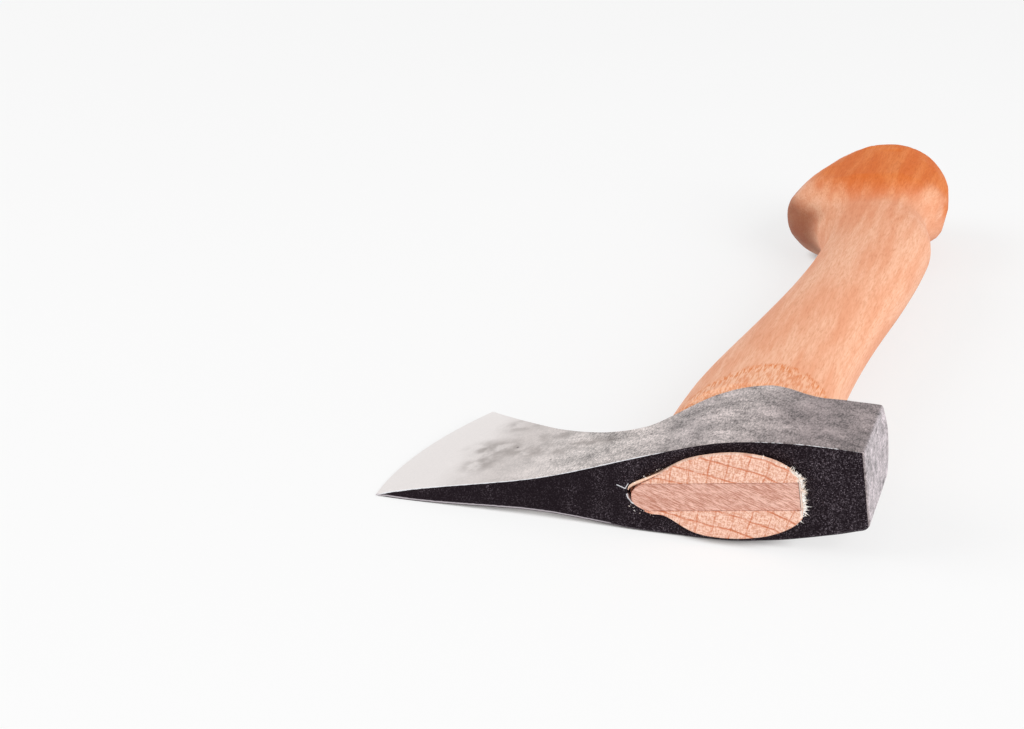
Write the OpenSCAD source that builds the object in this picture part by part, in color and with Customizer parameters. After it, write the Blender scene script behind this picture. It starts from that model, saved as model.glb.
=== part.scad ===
// Forged hatchet: a steel head on a bowed wooden haft, held by a wooden wedge.
// It lies on its side, at rest on the edge, one cheek and the knob.
// X runs from the edge to the poll, Y from the head to the knob, and Z is up.

/* [Head] */
// Length of the head, from the toe of the edge to the poll face
head_len = 140; // [112:1:170]
// Steel between the rear of the eye and the poll face
poll_wall = 16.5; // [13:0.5:20]
// Steel on each side of the eye, at the cheeks
cheek_wall = 2.9; // [2.4:0.1:3.6]
// Thickness of the poll
poll_t = 22.4; // [18:0.2:27]
// Depth of the poll, along the haft
poll_depth = 36; // [29:0.5:44]
// Depth of the neck, between the blade and the eye
neck_depth = 25.5; // [20:0.5:31]
// Depth over the lugs, beside the eye
lug_depth = 44; // [36:0.5:53]
// Depth of the edge, from toe to heel
edge_depth = 65; // [53:0.5:78]
// How far the heel sits back from the toe
edge_sweep = 14.5; // [11:0.5:18]
// How far the edge bows out between toe and heel
edge_bow = 5; // [3:0.5:7]
// Width of the ground bevel
bevel_len = 5; // [3.5:0.5:7]
// Thickness of the blade where the bevel starts
bevel_t = 2.1; // [1.6:0.1:2.6]
// Thickness of the blade where the cheek starts to swell
blade_t = 8.8; // [7:0.2:11]
// Rounding of the edges of the poll face
poll_round = 1.5; // [0.8:0.1:2.2]

/* [Eye] */
// Length of the eye, from nose to rear
eye_len = 46.5; // [38:0.5:56]
// Width of the eye
eye_w = 22.8; // [19:0.2:28]
// How far the widest part of the eye sits behind its middle
eye_belly = 4.5; // [3:0.5:6]
// How much the eye narrows on each side at its waist
eye_waist = 0.5; // [0.2:0.1:1]

/* [Haft] */
// Length of the haft, from end to end
haft_len = 327; // [270:1:394]
// How far the haft stands proud of the head
proud = 3; // [1.5:0.5:5]
// How far the proud end spreads over the eye
spread = 0.9; // [0.4:0.1:1.4]
// Step from the eye out to the haft, on each cheek side
shoulder = 2; // [1:0.2:2.6]
// How far the grip bows back towards the poll
grip_bow = 12.5; // [6:0.5:16]
// Width of the grip where it is slimmest
grip_w = 37.8; // [31:0.2:46]
// Thickness of the grip
grip_t = 26.6; // [22:0.2:32]
// Width of the knob
knob_w = 62; // [51:0.5:75]
// Thickness of the knob
knob_t = 35.6; // [29:0.2:43]
// Distance from the butt to the widest part of the knob
knob_nose = 49; // [40:1:59]
// Distance from the widest part of the knob to where its flare starts
knob_flare = 31; // [25:1:38]
// Length over which the butt is rounded down in thickness
butt_round = 12; // [8:1:18]

/* [Wedge] */
// Thickness of the wedge at its driven end
wedge_t = 8; // [6:0.2:10]
// Thickness of the wedge at its tip
wedge_tip_t = 1.6; // [1:0.2:2.4]
// Length of the wedge, from driven end to tip
wedge_len = 33; // [27:0.5:40]
// Wood left between the wedge and the rear of the eye
wedge_rear = 2; // [1:0.2:3]

/* [Fits] */
// Gap between the haft and the eye
eye_gap = 0.1; // [0.05:0.05:0.2]
// Gap on each side of the wedge
wedge_gap = 0.05; // [0.02:0.01:0.1]
// Gap between the head's underside and the shoulder of the haft
shoulder_gap = 0.4; // [0.3:0.1:0.8]

/* [Hidden] */

// Thickness left on the cutting edge, so that the solid closes
edge_t = 0.2;
// Slopes of the cheek: behind the bevel, where it starts to swell, and at the poll
bevel_slope = 0.14;
swell_slope = 0.1;
poll_slope = -0.14;
// Share of the blade's length that is flat before the cheek swells
blade_share = 0.56;
// The beard runs straight for this share of its length, and this much steeper than its chord
beard_share = 0.74;
beard_steep = 1.12;
// The lowest point of the neck lies this far ahead of the eye
neck_lead = 2.75;
// The lug's front flank: distance behind the eye's nose, drop from the lug, and slope
lug_lead = 15;
lug_drop = 3.4;
lug_slope = 0.55;
// The widest and deepest part of the lug lies this far behind the eye's widest part
lug_lag = 2;
// Behind the eye the underside dips this much below the poll
saddle_drop = 0.4;
saddle_lag = 1;
// The nose of the eye: 1 is an ellipse, higher is more pointed
nose_point = 1.6;
// Rounding of the proud end's rim
rim_round = 0.3;
// Squareness of the haft's section, where 2 is an ellipse, and of the butt in plan
haft_power = 2.3;
butt_power = 1.9;
// Length over which the tongue swells into the haft
swell_len = 6;
// The bow is deepest this far ahead of the flare
bow_lead = 28;
// Offsets of the knob's middle towards the poll, at its widest part and at the butt
knob_shift = 1.2;
butt_shift = 3.6;
// How much wider the haft is at the start of the flare than at its slimmest, and its slope there
flare_w = 3;
flare_slope = 0.05;
// Slopes of the haft's half width and half thickness where it leaves the head
grip_narrowing = -0.04;
grip_thinning = -0.01;
// Share of the knob's width and thickness left on the butt
butt_share = 0.33;
// Where the grip is slimmest, as a share of the way to the flare
slim_share = 0.51;

bevel_steps = 2;
blade_steps = 16;
cheek_steps = 28;
round_steps = 4;
depth_steps = 10;
ring_points = 40;
eye_steps = 6;
swell_steps = 4;
grip_steps = 22;
butt_steps = 10;
overcut = 1;

// Places along X, from the middle of the eye
toe_x = eye_len / 2 + poll_wall - head_len;
neck_x = -eye_len / 2 - neck_lead;
blade_end_x = -eye_len / 2 + overcut;
lug_front_x = -eye_len / 2 + lug_lead;
lug_x = eye_belly + lug_lag;
saddle_x = eye_len / 2 + saddle_lag;

// Places along Y, from the front face of the head
grip_start_y = lug_depth + shoulder_gap + swell_len;
butt_y = haft_len - proud;
knob_y = butt_y - knob_nose;
flare_y = knob_y - knob_flare;
slim_y = mix(grip_start_y, flare_y, slim_share);
wedge_tip_y = wedge_len - proud;

// A smooth curve through rows of [place, value, slope]
function hermite(s, a, b, d) =
    (2 * s^3 - 3 * s^2 + 1) * a[1] + (s^3 - 2 * s^2 + s) * d * a[2]
    + (3 * s^2 - 2 * s^3) * b[1] + (s^3 - s^2) * d * b[2];
function curve_from(i, at, rows) =
    i < len(rows) - 2 && at > rows[i + 1][0]
        ? curve_from(i + 1, at, rows)
        : let (a = rows[i], b = rows[i + 1], d = b[0] - a[0]) hermite((at - a[0]) / d, a, b, d);
function curve(at, rows) = curve_from(0, at, rows);
function mix(a, b, s) = a + (b - a) * s;
function power(v, n) = sign(v) * pow(abs(v), n);

// Head: half thickness of the cheeks, by distance back from the toe
blade_reach = blade_end_x - toe_x;
head_half_t = eye_w / 2 + cheek_wall;
cheek_rows = [
    [0, edge_t / 2, bevel_t / 2 / bevel_len],
    [bevel_len, bevel_t / 2, bevel_slope],
    [blade_reach * blade_share, blade_t / 2, swell_slope],
    [lug_x - toe_x, head_half_t, 0],
    [head_len, poll_t / 2, poll_slope]
];
function cheek(from_toe) = curve(from_toe, cheek_rows);

// Head: depth of its underside, by distance back from the toe
neck_reach = neck_x - toe_x;
beard_slope = -(edge_depth - neck_depth) / neck_reach * beard_steep;
throat_reach = neck_reach * beard_share;
under_rows = [
    [0, edge_depth, beard_slope],
    [throat_reach, edge_depth + beard_slope * throat_reach, beard_slope],
    [neck_reach, neck_depth, 0],
    [lug_front_x - toe_x, lug_depth - lug_drop, lug_slope],
    [lug_x - toe_x, lug_depth, 0],
    [saddle_x - toe_x, poll_depth - saddle_drop, 0],
    [head_len, poll_depth, 0]
];
function under(from_toe) = curve(from_toe, under_rows);

// The cutting edge is a bowed line that falls back from toe to heel
function edge_x(y) =
    let (v = y / edge_depth) toe_x + edge_sweep * v - edge_bow * 4 * v * (1 - v);
// Stations follow the edge in the blade and run straight across the rest of the head
function head_x(from_toe, y) =
    let (s = from_toe / blade_reach)
    s < 1 ? mix(edge_x(y), blade_end_x, s) : toe_x + from_toe;
function head_ring(from_toe, inset = 0) =
    let (t = cheek(from_toe) - inset, deep = under(from_toe) - inset)
    [
        for (i = [0 : depth_steps])
            let (y = deep * i / depth_steps) [head_x(from_toe, y), y, t],
        for (i = [depth_steps : -1 : 0])
            let (y = deep * i / depth_steps) [head_x(from_toe, y), y, -t]
    ];
round_start = head_len - poll_round;
head_rings = [
    for (i = [0 : bevel_steps]) head_ring(bevel_len * i / bevel_steps),
    for (i = [1 : blade_steps]) head_ring(mix(bevel_len, blade_reach, i / blade_steps)),
    for (i = [1 : cheek_steps]) head_ring(mix(blade_reach, round_start, i / cheek_steps)),
    for (i = [1 : round_steps])
        let (a = 90 * i / round_steps)
        head_ring(round_start + poll_round * sin(a), poll_round * (1 - cos(a)))
];

// Outline of the eye: round at the rear, drawn to a nose towards the blade
function eye_point(a, half_len, half_w) =
    let (c = cos(a))
    c >= 0
        ? [eye_belly + (half_len - eye_belly) * c, half_w * sin(a)]
        : [eye_belly + (half_len + eye_belly) * c, half_w * power(sin(a), nose_point)];
// The eye narrows to a waist at half its depth, so that the wedge locks the haft
function waist(y) = eye_waist * (1 - pow(2 * min(max(y / lug_depth, 0), 1) - 1, 2));
function eye_at(i, y, grow) =
    let (g = grow - waist(y), p = eye_point(360 * i / ring_points, eye_len / 2 + g, eye_w / 2 + g))
    [p[0], y, p[1]];
function eye_ring(y, grow) = [for (i = [0 : ring_points - 1]) eye_at(i, y, grow)];
eye_cut_rings = [
    eye_ring(-overcut, 0),
    for (i = [0 : eye_steps]) eye_ring(lug_depth * i / eye_steps, 0),
    eye_ring(lug_depth + overcut, 0)
];

// Haft: line of its middle, half width and half thickness, by distance from the head's front face
middle_rows = [
    [grip_start_y, 0, 0],
    [flare_y - bow_lead, grip_bow, 0],
    [knob_y, knob_shift, 0],
    [butt_y, butt_shift, 0]
];
width_rows = [
    [grip_start_y, eye_len / 2, grip_narrowing],
    [slim_y, grip_w / 2, 0],
    [flare_y, (grip_w + flare_w) / 2, flare_slope],
    [knob_y, knob_w / 2, 0],
    [butt_y, knob_w / 2, 0]
];
thick_rows = [
    [grip_start_y, eye_w / 2 + shoulder, grip_thinning],
    [slim_y, grip_t / 2, 0],
    [flare_y, grip_t / 2, 0],
    [knob_y, knob_t / 2, 0],
    [butt_y, knob_t / 2, 0]
];
// What rounding leaves of a size, over a length before the butt
function rounded(y, over, n) =
    let (s = min(max(1 - (butt_y - y) / over, 0), 1)) mix(butt_share, 1, pow(1 - pow(s, n), 1 / n));
function grip_at(i, y) =
    let (a = 360 * i / ring_points)
    [
        curve(y, middle_rows)
            + curve(y, width_rows) * rounded(y, knob_nose, butt_power) * power(cos(a), 2 / haft_power),
        y,
        curve(y, thick_rows) * rounded(y, butt_round, 2) * power(sin(a), 2 / haft_power)
    ];
function grip_ring(y) = [for (i = [0 : ring_points - 1]) grip_at(i, y)];
// The shoulder starts in a line that follows the head's underside, where the waisted tongue leaves it
function under_eye(i, y) = under(eye_at(i, y, -eye_gap)[0] - toe_x);
function shoulder_y(i) = under_eye(i, under_eye(i, 0)) + shoulder_gap;
function swell_ring(s) =
    let (e = s * s * (3 - 2 * s))
    [
        for (i = [0 : ring_points - 1])
            let (y = shoulder_y(i), eye = eye_at(i, y, -eye_gap), grip = grip_at(i, grip_start_y))
            [mix(eye[0], grip[0], e), y + swell_len * s, mix(eye[2], grip[2], e)]
    ];
tongue_rings = [
    eye_ring(-proud, spread - rim_round),
    eye_ring(-proud + rim_round, spread),
    eye_ring(-spread - eye_gap, spread),
    eye_ring(-eye_gap, -eye_gap),
    for (k = [0 : eye_steps])
        [for (i = [0 : ring_points - 1]) eye_at(i, shoulder_y(i) * k / eye_steps, -eye_gap)]
];
haft_rings = [
    each tongue_rings,
    for (i = [1 : swell_steps]) swell_ring(i / swell_steps),
    for (i = [1 : grip_steps]) grip_ring(mix(grip_start_y, knob_y, i / grip_steps)),
    for (i = [1 : butt_steps]) grip_ring(knob_y + knob_nose * sin(90 * i / butt_steps))
];

// Rest: rolled until the edge and a cheek touch the ground, then pitched until the knob does
edge_front = max([for (i = [0 : depth_steps]) toe_x - edge_x(edge_depth * i / depth_steps)]);
rest_roll = max([for (q = [head_len / 2 : head_len]) atan2(cheek(q) - edge_t / 2, q + edge_front)]);
function rolled(p) =
    [
        p[0] * cos(rest_roll) - p[2] * sin(rest_roll),
        p[1],
        p[0] * sin(rest_roll) + p[2] * cos(rest_roll)
    ];
function lowest(points) = min([for (p = points) rolled(p)[2]]);
head_points = [for (r = head_rings) each r];
haft_points = [for (r = haft_rings) each r];
rest_pitch = atan2(lowest(head_points) - lowest(haft_points), knob_y);
function posed(p) =
    let (q = rolled(p))
    [
        q[0],
        q[1] * cos(rest_pitch) - q[2] * sin(rest_pitch),
        q[1] * sin(rest_pitch) + q[2] * cos(rest_pitch)
    ];
posed_points = [for (p = concat(head_points, haft_points)) posed(p)];
function low(axis) = min([for (p = posed_points) p[axis]]);
function high(axis) = max([for (p = posed_points) p[axis]]);
rest_shift = [-(low(0) + high(0)) / 2, -(low(1) + high(1)) / 2, -low(2)];

// Lays a piece of the hatchet down, with the origin under the middle of its outline
module at_rest() {
    translate(rest_shift) rotate([rest_pitch, 0, 0]) rotate([0, -rest_roll, 0]) children();
}

// A closed solid through rings of points. Each end closes in strips from every point to its mirror image,
// where the mirror image of the first point is itself, or the last point of the ring.
module skin(rings, own_mirror) {
    n = len(rings[0]);
    last = (len(rings) - 1) * n;
    function twin(i) = (own_mirror ? n - i : n - 1 - i) % n;
    function strip(i, base) =
        let (j = i + 1, k = twin(i), m = twin(j))
        [
            if (k != i) [base + i, base + k, base + m],
            if (m != j) [base + i, base + m, base + j]
        ];
    half = [0 : n / 2 - (own_mirror ? 1 : 2)];
    sides = [
        for (r = [0 : len(rings) - 2], i = [0 : n - 1])
            let (a = r * n + i, b = r * n + (i + 1) % n)
            each [[a, b, b + n], [a, b + n, a + n]]
    ];
    polyhedron(
        points = [for (r = rings) each r],
        faces = [
            each sides,
            for (i = half) each strip(i, 0),
            for (i = half, f = strip(i, last)) [f[0], f[2], f[1]]
        ]
    );
}

// A slab through the nose of the eye that narrows from the driven end to the tip
module wedge_slab(grow, beyond) {
    nose_x = -eye_len;
    rear_x = eye_len / 2 - wedge_rear + grow;
    half_slope = (wedge_t - wedge_tip_t) / 2 / wedge_len;
    end_half = wedge_t / 2 + half_slope * beyond + grow;
    tip_half = wedge_tip_t / 2 + grow;
    translate([nose_x, 0, 0]) rotate([90, 0, 90]) linear_extrude(rear_x - nose_x) polygon([
        [-proud - beyond, -end_half],
        [wedge_tip_y + grow, -tip_half],
        [wedge_tip_y + grow, tip_half],
        [-proud - beyond, end_half]
    ]);
}

module axe_head() {
    color("dimgray") at_rest() difference() {
        skin(head_rings, false);
        skin(eye_cut_rings, true);
    }
}

module haft() {
    color("peru") at_rest() difference() {
        skin(haft_rings, true);
        wedge_slab(wedge_gap, overcut);
    }
}

module eye_wedge() {
    color("rosybrown") at_rest() intersection() {
        skin(tongue_rings, true);
        wedge_slab(0, 0);
    }
}

axe_head();
haft();
eye_wedge();
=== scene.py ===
import math
import bmesh
import bpy
import numpy as np
from mathutils import Matrix, Vector


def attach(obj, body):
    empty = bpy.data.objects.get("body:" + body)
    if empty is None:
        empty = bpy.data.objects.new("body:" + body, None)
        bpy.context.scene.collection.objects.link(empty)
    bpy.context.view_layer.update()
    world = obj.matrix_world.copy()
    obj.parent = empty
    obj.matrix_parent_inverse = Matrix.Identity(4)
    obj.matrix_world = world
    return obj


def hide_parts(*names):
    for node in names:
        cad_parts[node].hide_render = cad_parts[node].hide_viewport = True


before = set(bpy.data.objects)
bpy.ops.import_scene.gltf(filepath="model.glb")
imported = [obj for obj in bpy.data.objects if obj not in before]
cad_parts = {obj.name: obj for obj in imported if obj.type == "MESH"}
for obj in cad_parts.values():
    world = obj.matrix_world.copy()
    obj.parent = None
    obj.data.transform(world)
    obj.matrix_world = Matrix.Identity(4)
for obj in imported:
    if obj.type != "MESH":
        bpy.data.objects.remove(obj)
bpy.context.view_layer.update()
print("frame loaded:", sorted(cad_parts))

# The hatchet is worked out in its own frame, in millimetres: x from the edge to the poll, 0 at the eye's middle,
# y along the haft from the head's front face, z through the cheeks. Then it is laid down as the CAD model lies.
restPose = {"rollDeg": 8.06946, "pitchDeg": 0.794778, "shift": (29.45, -160.435, 14.4538)}


def restTurn():
    # a roll about the haft's line, toe down, then a pitch about x until the knob is down too
    roll, pitch = math.radians(restPose["rollDeg"]), math.radians(restPose["pitchDeg"])
    rollTurn = [[math.cos(roll), 0, -math.sin(roll)], [0, 1, 0], [math.sin(roll), 0, math.cos(roll)]]
    pitchTurn = [[1, 0, 0], [0, math.cos(pitch), -math.sin(pitch)], [0, math.sin(pitch), math.cos(pitch)]]
    return np.array(pitchTurn) @ np.array(rollTurn)


turn = restTurn()
shift = np.array(restPose["shift"])


def laidDown(points):
    # turned, shifted, and millimetres made metres
    return (points @ turn.T + shift) / 1000


# Curves and grids

def throughRows(at, rows):
    # rows hold place, value and slope; between two rows the value is the cubic with their values and slopes
    rows, at = np.array(rows, float), np.asarray(at, float)
    i = np.clip(np.searchsorted(rows[:, 0], at, side="right") - 1, 0, len(rows) - 2)
    a, b = rows[i], rows[i + 1]
    d = b[..., 0] - a[..., 0]
    s = (at - a[..., 0]) / d
    return ((2 * s**3 - 3 * s**2 + 1) * a[..., 1] + (s**3 - 2 * s**2 + s) * d * a[..., 2]
            + (3 * s**2 - 2 * s**3) * b[..., 1] + (s**3 - s**2) * d * b[..., 2])


def eased(s):
    # three s squared minus two s cubed, so that it starts and ends level
    s = np.clip(s, 0, 1)
    return s * s * (3 - 2 * s)


def since(at, change):
    # a change holds its start and its run: 0 up to the start, 1 once it has run, and eased between
    start, run = change
    return eased((at - start) / run)


def blended(a, b, s):
    # a where s is 0, b where s is 1
    return a + (b - a) * s


def stacked(x, y, z):
    # three coordinates as points, each repeated where another has more rows or columns
    return np.stack(np.broadcast_arrays(x, y, z), -1)


def lumps(points, size, seed):
    # random values from -1 to 1 on a lattice of that size, eased between the eight corners of each cell
    count = 32  # the lattice repeats after so many cells
    table = np.random.default_rng(seed).uniform(-1, 1, (count,) * 3)
    grid = points / size
    cell = np.floor(grid).astype(int)
    f = eased(grid - cell)
    total = np.zeros(len(points))
    for corner in np.ndindex(2, 2, 2):
        weight = np.prod(np.where(corner, f, 1 - f), axis=1)
        total += weight * table[tuple(((cell + corner) % count).T)]
    return total


def gridPatch(points, closed=False, keep=None, **marks):
    # two triangles for each cell of a grid of points; the last column joins the first where it is closed,
    # and keep says which cells stay. Marks are values at the points, or one value for them all.
    rows, cols = points.shape[:2]
    r, c = np.meshgrid(np.arange(rows - 1), np.arange(cols if closed else cols - 1), indexing="ij")
    if keep is not None:
        r, c = r[keep(r, c)], c[keep(r, c)]
    a, b = (r * cols + c).ravel(), (r * cols + (c + 1) % cols).ravel()
    triangles = np.concatenate([np.stack([a, b, b + cols], 1), np.stack([a, b + cols, a + cols], 1)])
    values = {k: np.broadcast_to(np.asarray(v, float), (rows, cols)).ravel() for k, v in marks.items()}
    return points.reshape(-1, 3), triangles, values


def placed(name, data):
    # a new object at the origin
    made = bpy.data.objects.new(name, data)
    bpy.context.scene.collection.objects.link(made)
    return made


def makePiece(name, patches, finish, replaced=None, finer=None, sharpDeg=38):
    # joins the patches where their points coincide, drops triangles that have closed up, turns the faces outwards,
    # lets finer(points, normals, marks) move the points, and lays the piece down
    starts = np.cumsum([0] + [len(p[0]) for p in patches])
    points = np.concatenate([p[0] for p in patches])
    triangles = np.concatenate([p[1] + s for p, s in zip(patches, starts)])
    names = sorted({k for p in patches for k in p[2]})
    marks = {k: np.concatenate([p[2].get(k, np.zeros(len(p[0]))) for p in patches]) for k in names}
    near = 0.002  # points in one cell of this size coincide; the shift keeps round values off its sides
    keys = np.floor(points / near + 0.3819).astype(np.int64)
    first, back = np.unique(keys, axis=0, return_index=True, return_inverse=True)[1:]
    triangles = back.reshape(-1)[triangles]
    triangles = triangles[(triangles != np.roll(triangles, 1, axis=1)).all(axis=1)]
    points, marks = points[first], {k: v[first] for k, v in marks.items()}

    mesh = bpy.data.meshes.new(name)
    mesh.from_pydata(points.tolist(), [], triangles.tolist())
    work = bmesh.new()
    work.from_mesh(mesh)
    bmesh.ops.recalc_face_normals(work, faces=work.faces)
    openEdges = sum(1 for e in work.edges if not e.is_manifold)
    work.to_mesh(mesh)
    work.free()
    if finer:
        normals = np.zeros(len(points) * 3, np.float32)
        mesh.vertex_normals.foreach_get("vector", normals)
        points = finer(points, normals.reshape(-1, 3).astype(float), marks)
    mesh.vertices.foreach_set("co", laidDown(points).astype(np.float32).ravel())
    for k, v in marks.items():
        mesh.attributes.new(k, "FLOAT", "POINT").data.foreach_set("value", v.astype(np.float32))
    mesh.shade_smooth()
    mesh.set_sharp_from_angle(angle=math.radians(sharpDeg))
    mesh.materials.append(finish)
    mesh.update()
    piece = placed(name, mesh)
    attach(piece, "root")
    if replaced:
        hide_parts(replaced)
    print(name, len(triangles), "triangles,", openEdges, "open edges")


# Shader maths

class Wire:
    # a socket that can be added, multiplied and so on; each step adds a Math node
    def __init__(self, tree, socket):
        self.tree, self.socket = tree, socket

    def worked(self, operation, values):
        # the operation's result for these values, in order
        node = self.tree.nodes.new("ShaderNodeMath")
        node.operation = operation
        for socket, value in zip(node.inputs, values):
            plug(self.tree, socket, value)
        return Wire(self.tree, node.outputs[0])

    def math(self, operation, *others):
        # this wire first, then the others
        return self.worked(operation, (self,) + others)

    def __add__(self, other): return self.math("ADD", other)
    def __radd__(self, other): return self.math("ADD", other)
    def __sub__(self, other): return self.math("SUBTRACT", other)
    def __rsub__(self, other): return self.worked("SUBTRACT", (other, self))
    def __mul__(self, other): return self.math("MULTIPLY", other)
    def __rmul__(self, other): return self.math("MULTIPLY", other)
    def __truediv__(self, other): return self.math("DIVIDE", other)
    def __rtruediv__(self, other): return self.worked("DIVIDE", (other, self))
    def __pow__(self, other): return self.math("POWER", other)


def plug(tree, socket, value):
    # a link where the value is a wire, else a plain setting
    if isinstance(value, Wire):
        tree.links.new(value.socket, socket)
    else:
        socket.default_value = value


class Finish:
    # the node tree of a new material or world, with the few nodes that these finishes are made of
    def __init__(self, owner):
        self.owner, owner.use_nodes = owner, True
        self.tree = owner.node_tree
        self.tree.nodes.clear()

    def node(self, kind, settings=None, inputs=None, give=0):
        # any node, with its settings and inputs; gives the output asked for, or the node where it has none
        made = self.tree.nodes.new("ShaderNode" + kind)
        for k, v in (settings or {}).items():
            if k == "stops":
                ramp = made.color_ramp
                while len(ramp.elements) < len(v):
                    ramp.elements.new(0.5)
                for element, (place, colour) in zip(ramp.elements, v):
                    element.position, element.color = place, colour
            else:
                setattr(made, k, v)
        for k, v in (inputs or {}).items():
            plug(self.tree, made.inputs[k], v)
        return Wire(self.tree, made.outputs[give]) if made.outputs else made

    def mark(self, name):
        # a value that the piece holds at its points
        return self.node("Attribute", {"attribute_name": name}, give="Fac")

    def hatchetPlace(self):
        # the surface's place in the hatchet's own frame, in millimetres
        back = Matrix(turn.T.tolist())
        return self.node("Mapping", inputs={
            "Vector": self.node("TexCoord", give="Object"), "Scale": (1000,) * 3,
            "Rotation": back.to_euler("XYZ"), "Location": tuple(-turn.T @ shift)})

    def noise(self, place, size, detail=3, roughness=0.55):
        # smooth random values from 0 to 1, in lumps of that size with finer ones added
        return self.node("TexNoise", inputs={"Vector": place, "Scale": 1 / size, "Detail": detail,
                                             "Roughness": roughness})

    def cells(self, place, size):
        # how far the nearest of many scattered spots is, as a share of their spacing
        return self.node("TexVoronoi", inputs={"Vector": place, "Scale": 1 / size}, give="Distance")

    def step(self, value, low, high, a=0.0, b=1.0):
        # a below low, b above high, and eased between
        return self.node("MapRange", {"interpolation_type": "SMOOTHSTEP"}, {
            "Value": value, "From Min": low, "From Max": high, "To Min": a, "To Max": b})

    def ramp(self, value, stops):
        # a row of colours at places from 0 to 1, blended between
        return self.node("ValToRGB", {"stops": [(place, rgb(*c)) for place, c in stops]}, {"Fac": value})

    def colour(self, part, a, b, blend="MIX"):
        # colour a where part is 0, colour b where it is 1; three numbers are screen values
        a, b = (rgb(*c) if isinstance(c, tuple) and len(c) == 3 else c for c in (a, b))
        return self.node("Mix", {"data_type": "RGBA", "blend_type": blend, "clamp_factor": True},
                         {0: part, 6: a, 7: b}, give=2)

    def layered(self, base, look, *layers):
        # named colours laid over a base one after another, each by its own share
        for name, part, *blend in layers:
            base = self.colour(part, base, look[name], *blend)
        return base

    def vector(self, x, y, z):
        # three values as one place
        return self.node("CombineXYZ", inputs={"X": x, "Y": y, "Z": z})

    def parts(self, place):
        # a place's three values
        return [self.node("SeparateXYZ", inputs={0: place}, give=i) for i in range(3)]

    def scratch(self, across, up, start, end, width):
        # 1 within half a width of the line from start to end, in the plane of the two wires
        dx, dy = end[0] - start[0], end[1] - start[1]
        long2 = dx * dx + dy * dy
        along = ((across - start[0]) * dx + (up - start[1]) * dy) / long2
        along = along.math("MAXIMUM", 0.0).math("MINIMUM", 1.0)
        offX, offY = across - start[0] - along * dx, up - start[1] - along * dy
        return self.step((offX * offX + offY * offY) ** 0.5, width * 0.3, width * 0.6, 1, 0)

    def bump(self, height):
        # a normal tilted by the slope of a height in millimetres
        return self.node("Bump", inputs={"Height": height, "Strength": 1.0, "Distance": 0.001})

    def shown(self, shader, kind="OutputMaterial"):
        # links the shader to the tree's output, and gives the material or world
        self.node(kind, inputs={"Surface": shader})
        return self.owner

    def surface(self, **sockets):
        # the main shader, with its sockets by name
        return self.shown(self.node("BsdfPrincipled", inputs={k.replace("_", " "): v for k, v in sockets.items()}))


def linear(v):
    # the light of a screen value from 0 to 255
    v = v / 255
    return v / 12.92 if v <= 0.04045 else ((v + 0.055) / 1.055) ** 2.4


def rgb(r, g, b):
    # the colour of three screen values
    return (linear(r), linear(g), linear(b), 1.0)


def newFinish(name):
    # the empty finish of a new material
    return Finish(bpy.data.materials.new(name))


# Finishes

steelLook = {
    "bit": (237, 231, 229), "blade": (214, 206, 203), "neck": (202, 193, 190), "flank": (181, 171, 170),
    # the poll's tone is partly painted light: its face, turned to the lamps on the right that the steel does not
    # mirror, is made lighter than the cheeks
    "lug": (198, 187, 185), "pollCheek": (154, 142, 142), "poll": (205, 195, 199), "smoke": (134, 123, 118),
    "blotch": (80, 71, 71), "pit": (64, 54, 54), "black": (30, 21, 27), "speck": (158, 145, 155),
    "worn": (250, 250, 254), "lowWorn": (206, 197, 203), "pepper": 3.2, "smear": 2.0,
    # sootAndShade: x, y, half sizes and strength of each smudge, all drawn in the smudge colour above; the one at
    # -52, 33 is painted shade along the hollow by the back edge, the others are soot
    "sootAndShade": ((-74, 27, 9, 8, 0.9), (-73, 15, 7, 8, 0.9), (-46, 21, 22, 6, 0.8), (-69, 45, 8, 7, 0.8),
             (-52, 33, 14, 4.5, 0.6), (-64, 25, 10, 9, 0.6)),
    # pits: x, y and half width of the deepest ones
    "pits": ((-65, 26, 0.45), (-51, 13, 0.4), (-45, 12, 0.3), (-30, 24, 0.4), (-22, 17, 0.45)),
    # scratches by the eye's nose: x and z of both ends, and width
    "scratches": (((-28.6, 2.6), (-26.4, 1.5), 0.3), ((-26.4, 1.5), (-25.4, 2.9), 0.25)),
    # where along the head each colour lies, as a share of its length
    "along": ((0.0, "bit"), (0.12, "bit"), (0.24, "blade"), (0.42, "blade"), (0.53, "neck"), (0.64, "flank"),
              (0.74, "lug"), (0.86, "pollCheek"), (0.995, "pollCheek"), (1.0, "poll")),
    # from where to where each change runs, in millimetres from the edge
    "spans": {"dull": (12, 50), "coarse": (34, 72), "poll": (138.5, 140), "cloudless": (118, 134),
              "stained": (66, 116), "pitted": (20, 60), "dusty": (40, 105), "lowWorn": (58, 86),
              "rough": (6, 60)},
    # millimetres, detail and roughness of each pattern's lumps
    "patterns": {"cloud": (16, 4, 0.6), "smear": (4.5, 3, 0.55), "pepper": (0.5, 3, 0.75),
                 "blotch": (3.2, 5, 0.72), "wisps": (4.2, 3, 0.5), "specks": (0.85, 2, 0.6),
                 "dusty": (9, 3, 0.55), "dust": (0.38, 4, 0.8), "chips": (1.6, 3, 0.65)},
    "pitGap": 6.5}


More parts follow.
